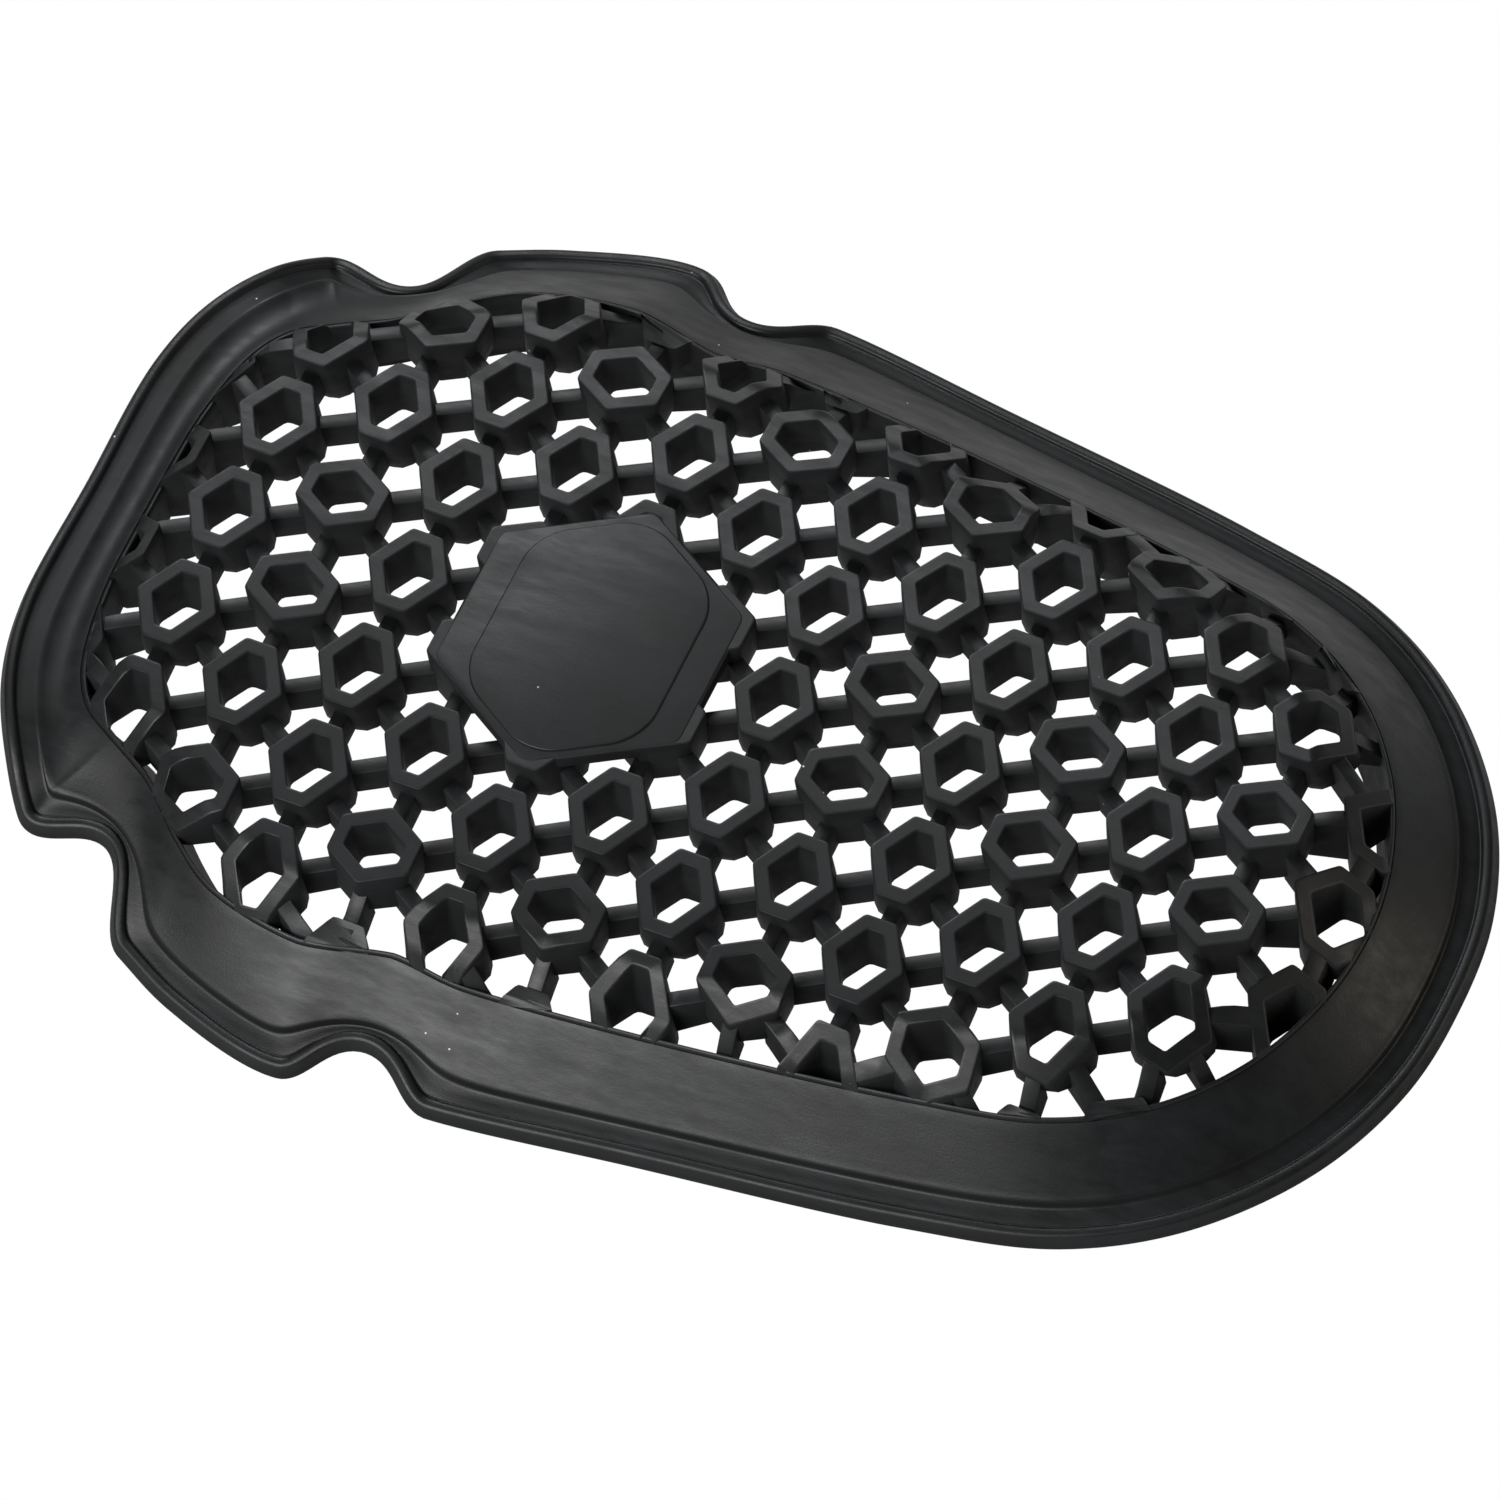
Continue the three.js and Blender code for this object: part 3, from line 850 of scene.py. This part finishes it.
    def stub_ring(self, site: Site) -> Points:
        """Gives the outline of the part of a tube's hexagon that reaches in past the flange's edge.

        Args:
            site: The place of the tube that isn't there.

        Returns:
            Rows of x, y round the stub, evenly spaced.
        """
        ring = self.rounded(site.kind.value, self.stub_corner, 0.0) + self.middle(site)
        past, _ = self.outline.inside(ring)
        shown = past > -self.stub_bury
        start = int(np.argmax(shown & ~np.roll(shown, 1)))
        ring = np.roll(ring, -start, axis=0)[:int(shown.sum())]
        closed = np.vstack([ring, ring[:1]])
        run = np.concatenate([[0.0], np.cumsum(np.hypot(*np.diff(closed, axis=0).T))])
        place = np.arange(self.stub_points) / self.stub_points * run[-1]
        return np.column_stack([np.interp(place, run, closed[:, 0]), np.interp(place, run, closed[:, 1])])

    def stubs(self) -> bpy.types.Object:
        """Models the solid stubs where the flange takes a tube's place."""
        parts = []
        rim = 2 * self.stub_points
        for column, half in self.stub_sites:
            for sign in (1, -1):
                ring = self.stub_ring(Site(column, half * sign))
                deselect_all()
                bpy.ops.mesh.primitive_cylinder_add(
                    vertices=self.stub_points, radius=1.0, depth=1.0, end_fill_type="TRIFAN")
                stub = bpy.context.object
                points = coordinates(stub)
                points[0:rim:2, :2] = ring
                points[1:rim:2, :2] = ring
                points[rim:, :2] = ring.mean(axis=0)
                past, lip_z = self.outline.inside(points)
                slope = np.where(past > 0, self.stub_rise, self.stub_fall)
                top = lip_z + self.stub_proud + slope * past
                foot = float(lip_z.mean()) - self.stub_depth
                points[:, 2] = np.where(points[:, 2] > 0, top, foot)
                place_vertices(stub, points)
                outwards(stub)
                parts.append(stub)
        stubs = joined("flange_tabs", parts)
        smooth(stubs, CREASE)
        return stubs


@dataclass
class Plate:
    """The hexagonal plate over seven tubes, with its low panel."""

    outline: Outline
    column: int = 4
    apothem: float = 19.15
    thickness: float = 2.2
    shift: float = -0.5
    corner: float = 1.2
    edge: float = 0.5
    panel_rise: float = 0.3
    panel_across: float = 14.2
    panel_margin: float = 1.3
    panel_corner: float = 4.5
    panel_edge: float = 0.28
    panel_depth: float = 1.0            # how deep the panel is sunk in the plate

    def block(self, sides: Sequence[float], corner: float, edge: float, low: float,
              high: float) -> bpy.types.Object:
        """Models a hexagonal block with rounded upright corners and a rounded top edge.

        Args:
            sides: Each side's distance from the middle, from the one that faces along +X.
            corner: How far back the upright corners are rounded.
            edge: The radius of the top edge.
            low: The height of its underside.
            high: The height of its top.

        Returns:
            The block.
        """
        deselect_all()
        bpy.ops.mesh.primitive_cylinder_add(vertices=6, radius=self.apothem * MM, depth=(high - low) * MM)
        block = bpy.context.object
        points = coordinates(block)
        for low_index in range(0, 12, 2):
            angle = round(math.degrees(math.atan2(points[low_index, 1], points[low_index, 0])) / 60 - 0.5)
            before, after = angle % 6, (angle + 1) % 6
            a, b = math.radians(60 * before), math.radians(60 * after)
            det = math.sin(b - a)
            x = (sides[before] * math.sin(b) - sides[after] * math.sin(a)) / det
            y = (sides[after] * math.cos(a) - sides[before] * math.cos(b)) / det
            points[low_index:low_index + 2, :2] = (x, y)
        points += (self.outline.column(self.column), self.shift, (high + low) / 2)
        place_vertices(block, points)
        edit_chosen(block, "EDGE", lambda p, q: abs(p.z - q.z) > 0.1,
                    lambda: bpy.ops.mesh.bevel(offset=corner * MM, segments=8, affect="EDGES"))
        edit_chosen(block, "FACE", lambda centre, normal: normal.z > 0.9,
                    lambda: bpy.ops.mesh.bevel(offset=edge * MM, segments=4, affect="EDGES"))
        outwards(block)
        return block

    def build(self) -> bpy.types.Object:
        """Models the plate and its panel.

        Returns:
            Both as one object.
        """
        top = self.outline.crown_z
        slab = self.block([self.apothem] * 6, self.corner, self.edge, top - self.thickness, top)
        margin = self.apothem - self.panel_margin
        sides = [self.panel_across, margin, margin] * 2
        panel = self.block(sides, self.panel_corner, self.panel_edge, top - self.panel_depth,
                           top + self.panel_rise)
        plate = joined("plate", [slab, panel])
        smooth(plate, CREASE)
        return plate


# The finish.

def linear(hex_colour: str) -> tuple[float, float, float, float]:
    """Turns an sRGB hex colour such as #1d1f20 into linear red, green, blue and alpha."""
    values = (int(hex_colour[i:i + 2], 16) / 255 for i in (1, 3, 5))
    return (*((v / 12.92 if v <= 0.04045 else ((v + 0.055) / 1.055) ** 2.4) for v in values), 1.0)


def add_node(tree: bpy.types.NodeTree, kind: str, settings: dict | None = None,
             inputs: dict | None = None) -> bpy.types.Node:
    """Adds a node with its settings and links.

    Args:
        tree: The node tree.
        kind: The node's type name.
        settings: Attributes to set on it.
        inputs: For each input's name or number, the value to put there or the socket to link.

    Returns:
        The node.
    """
    node = tree.nodes.new(kind)
    for name, value in (settings or {}).items():
        setattr(node, name, value)
    for name, value in (inputs or {}).items():
        if isinstance(value, bpy.types.NodeSocket):
            tree.links.new(value, node.inputs[name])
        else:
            node.inputs[name].default_value = value
    return node


@dataclass(frozen=True)
class MouldedRubber:
    """Black moulded rubber, satin where the mould was polished, with a little bloom and dust.

    Vulcanised rubber takes a fine grain from its mould, and its surface blooms to a bluish grey.
    """

    name: str = "moulded_rubber"
    deep: str = "#080909"
    bloom: str = "#131517"
    dust: str = "#c9cac6"
    roughness: float = 0.42
    wall_roughness: float = 0.85
    ior: float = 1.36
    bloom_mm: float = 14.0
    grain_mm: float = 0.35              # the real grain is near 0.1 mm, too fine to show
    flow_mm: float = 2.2
    dust_mm: float = 4.0

    def build(self) -> bpy.types.Material:
        """Makes the material.

        Returns:
            The material, which reads Object coordinates in metres.
        """
        material = bpy.data.materials.new(self.name)
        material.use_nodes = True
        tree = material.node_tree
        tree.nodes.clear()
        coords = add_node(tree, "ShaderNodeTexCoord")
        place = coords.outputs["Object"]
        bloom = add_node(tree, "ShaderNodeTexNoise", {}, {
            "Vector": place, "Scale": 1 / (self.bloom_mm * MM), "Detail": 4.0, "Roughness": 0.6})
        stretched = add_node(tree, "ShaderNodeMapping", {}, {"Vector": place, "Scale": (0.25, 1.0, 1.0)})
        flow = add_node(tree, "ShaderNodeTexNoise", {}, {
            "Vector": stretched.outputs["Vector"], "Scale": 1 / (self.flow_mm * MM), "Detail": 3.0,
            "Roughness": 0.7})
        grain = add_node(tree, "ShaderNodeTexNoise", {}, {
            "Vector": place, "Scale": 1 / (self.grain_mm * MM), "Detail": 2.0})
        specks = add_node(tree, "ShaderNodeTexVoronoi", {}, {
            "Vector": place, "Scale": 1 / (self.dust_mm * MM), "Randomness": 1.0})
        speck = add_node(tree, "ShaderNodeMapRange", {}, {
            "Value": specks.outputs["Distance"], "From Min": 0.028, "From Max": 0.045,
            "To Min": 1.0, "To Max": 0.0})
        chosen = add_node(tree, "ShaderNodeSeparateColor", {}, {"Color": specks.outputs["Color"]})
        few = add_node(tree, "ShaderNodeMapRange", {}, {
            "Value": chosen.outputs["Red"], "From Min": 0.82, "From Max": 0.84,
            "To Min": 0.0, "To Max": 0.8})
        dusty = add_node(tree, "ShaderNodeMath", {"operation": "MULTIPLY"}, {
            0: speck.outputs["Result"], 1: few.outputs["Result"]})
        share = add_node(tree, "ShaderNodeMapRange", {}, {
            "Value": bloom.outputs["Fac"], "From Min": 0.35, "From Max": 0.7})
        base = add_node(tree, "ShaderNodeMix", {"data_type": "RGBA"}, {
            0: share.outputs["Result"], 6: linear(self.deep), 7: linear(self.bloom)})
        colour = add_node(tree, "ShaderNodeMix", {"data_type": "RGBA"}, {
            0: dusty.outputs["Value"], 6: base.outputs[2], 7: linear(self.dust)})
        facing = add_node(tree, "ShaderNodeSeparateXYZ", {}, {"Vector": coords.outputs["Normal"]})
        matt = add_node(tree, "ShaderNodeMapRange", {}, {
            "Value": facing.outputs["Z"], "From Min": 0.25, "From Max": 0.7,
            "To Min": self.wall_roughness, "To Max": self.roughness})
        uneven = add_node(tree, "ShaderNodeMapRange", {}, {
            "Value": flow.outputs["Fac"], "From Min": 0.3, "From Max": 0.7,
            "To Min": -0.06, "To Max": 0.08})
        gloss = add_node(tree, "ShaderNodeMath", {"operation": "ADD"}, {
            0: matt.outputs["Result"], 1: uneven.outputs["Result"]})
        ripple = add_node(tree, "ShaderNodeBump", {}, {
            "Height": flow.outputs["Fac"], "Strength": 0.12, "Distance": 0.2 * MM})
        bump = add_node(tree, "ShaderNodeBump", {}, {
            "Height": grain.outputs["Fac"], "Strength": 0.25, "Distance": 0.05 * MM,
            "Normal": ripple.outputs["Normal"]})
        surface = add_node(tree, "ShaderNodeBsdfPrincipled", {}, {
            "Base Color": colour.outputs[2], "Roughness": gloss.outputs["Value"], "IOR": self.ior,
            "Normal": bump.outputs["Normal"]})
        add_node(tree, "ShaderNodeOutputMaterial", {}, {"Surface": surface.outputs["BSDF"]})
        return material


# The studio.

@dataclass(frozen=True)
class Lamp:
    """A square soft light: its place and side in metres, its power in watts and its sRGB colour."""

    name: str
    place: Sequence[float]
    size: float
    power: float
    colour: str

    def build(self) -> None:
        """Hangs the light, pointing at the pad."""
        data = bpy.data.lights.new(self.name, "AREA")
        data.size = self.size
        data.energy = self.power
        data.color = linear(self.colour)[:3]
        lamp = bpy.data.objects.new(self.name, data)
        bpy.context.collection.objects.link(lamp)
        lamp.location = self.place
        lamp.rotation_euler = (-Vector(self.place)).to_track_quat("-Z", "Y").to_euler()


@dataclass
class Studio:
    """The camera as it stood for the photograph, a plain white floor and soft light."""

    # the camera's right, up and back directions, and its place in millimetres
    right: Sequence[float] = (0.90236395, 0.41979108, -0.09754363)
    up: Sequence[float] = (-0.31718878, 0.80011568, 0.50912294)
    back: Sequence[float] = (0.29177146, -0.42847444, 0.85514857)
    place: Sequence[float] = (620.628, -915.227, 1830.057)
    lens: float = 366.29
    floor_size: float = 6.0
    floor_glow: float = 1.0
    room_glow: float = 0.13
    lamps: Sequence[Lamp] = (
        Lamp("sky_softbox", (-0.5, 0.75, 1.5), 1.0, 2.4, "#f4f6f5"),
        Lamp("front_softbox", (-0.45, -1.0, 1.1), 0.9, 30.0, "#ffffff"),
        Lamp("low_side_lamp", (1.3, 0.45, 0.32), 0.5, 3.0, "#fff3e0"),
        Lamp("back_softbox", (-0.74, 0.96, 1.0), 0.6, 12.0, "#f2f5f7"),
    )

    def camera(self) -> None:
        """Makes the camera and sets it as the scene's."""
        data = bpy.data.cameras.new("photo_camera")
        data.lens = self.lens
        data.sensor_width = 36.0
        data.clip_end = 50.0
        camera = bpy.data.objects.new("photo_camera", data)
        bpy.context.collection.objects.link(camera)
        turn = Matrix((self.right, self.up, self.back)).transposed().to_4x4()
        camera.matrix_world = Matrix.Translation(Vector(self.place) * MM) @ turn
        bpy.context.scene.camera = camera

    def floor(self) -> None:
        """Lays the white floor, which glows a little, as a lit table does."""
        deselect_all()
        bpy.ops.mesh.primitive_plane_add(size=self.floor_size, location=(0, 0, -0.0003))
        floor = bpy.context.object
        floor.name = "floor"
        material = bpy.data.materials.new("white_table")
        material.use_nodes = True
        tree = material.node_tree
        tree.nodes.clear()
        glow = add_node(tree, "ShaderNodeEmission", {}, {
            "Color": (1, 1, 1, 1), "Strength": self.floor_glow})
        add_node(tree, "ShaderNodeOutputMaterial", {}, {"Surface": glow.outputs["Emission"]})
        floor.data.materials.append(material)

    def build(self) -> None:
        """Sets up the camera, the floor, the lights and the pale surroundings."""
        self.camera()
        self.floor()
        for lamp in self.lamps:
            lamp.build()
        world = bpy.data.worlds.new("pale_room")
        bpy.context.scene.world = world
        world.use_nodes = True
        background = world.node_tree.nodes["Background"]
        background.inputs["Color"].default_value = (1, 1, 1, 1)
        background.inputs["Strength"].default_value = self.room_glow
        bpy.context.scene.view_settings.view_transform = "Standard"


def main() -> None:
    """Builds the pieces in order and reports each."""
    logging.basicConfig(level=logging.INFO, format="%(message)s")
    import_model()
    outline = Outline()
    Studio().build()
    rubber = MouldedRubber().build()
    lattice = Lattice(outline)
    sites = lattice.sites()
    flange = Flange(outline).build()
    smooth(flange, 60)
    pieces = (flange, lattice.tubes(sites), lattice.ribs(sites), lattice.stubs(), Plate(outline).build())
    for piece in pieces:
        piece.data.materials.clear()
        piece.data.materials.append(rubber)
        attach(piece, "root")
        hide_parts(NODE)
        LOG.info("%s: %d faces", piece.name, len(piece.data.polygons))


if __name__ == "__main__":
    main()
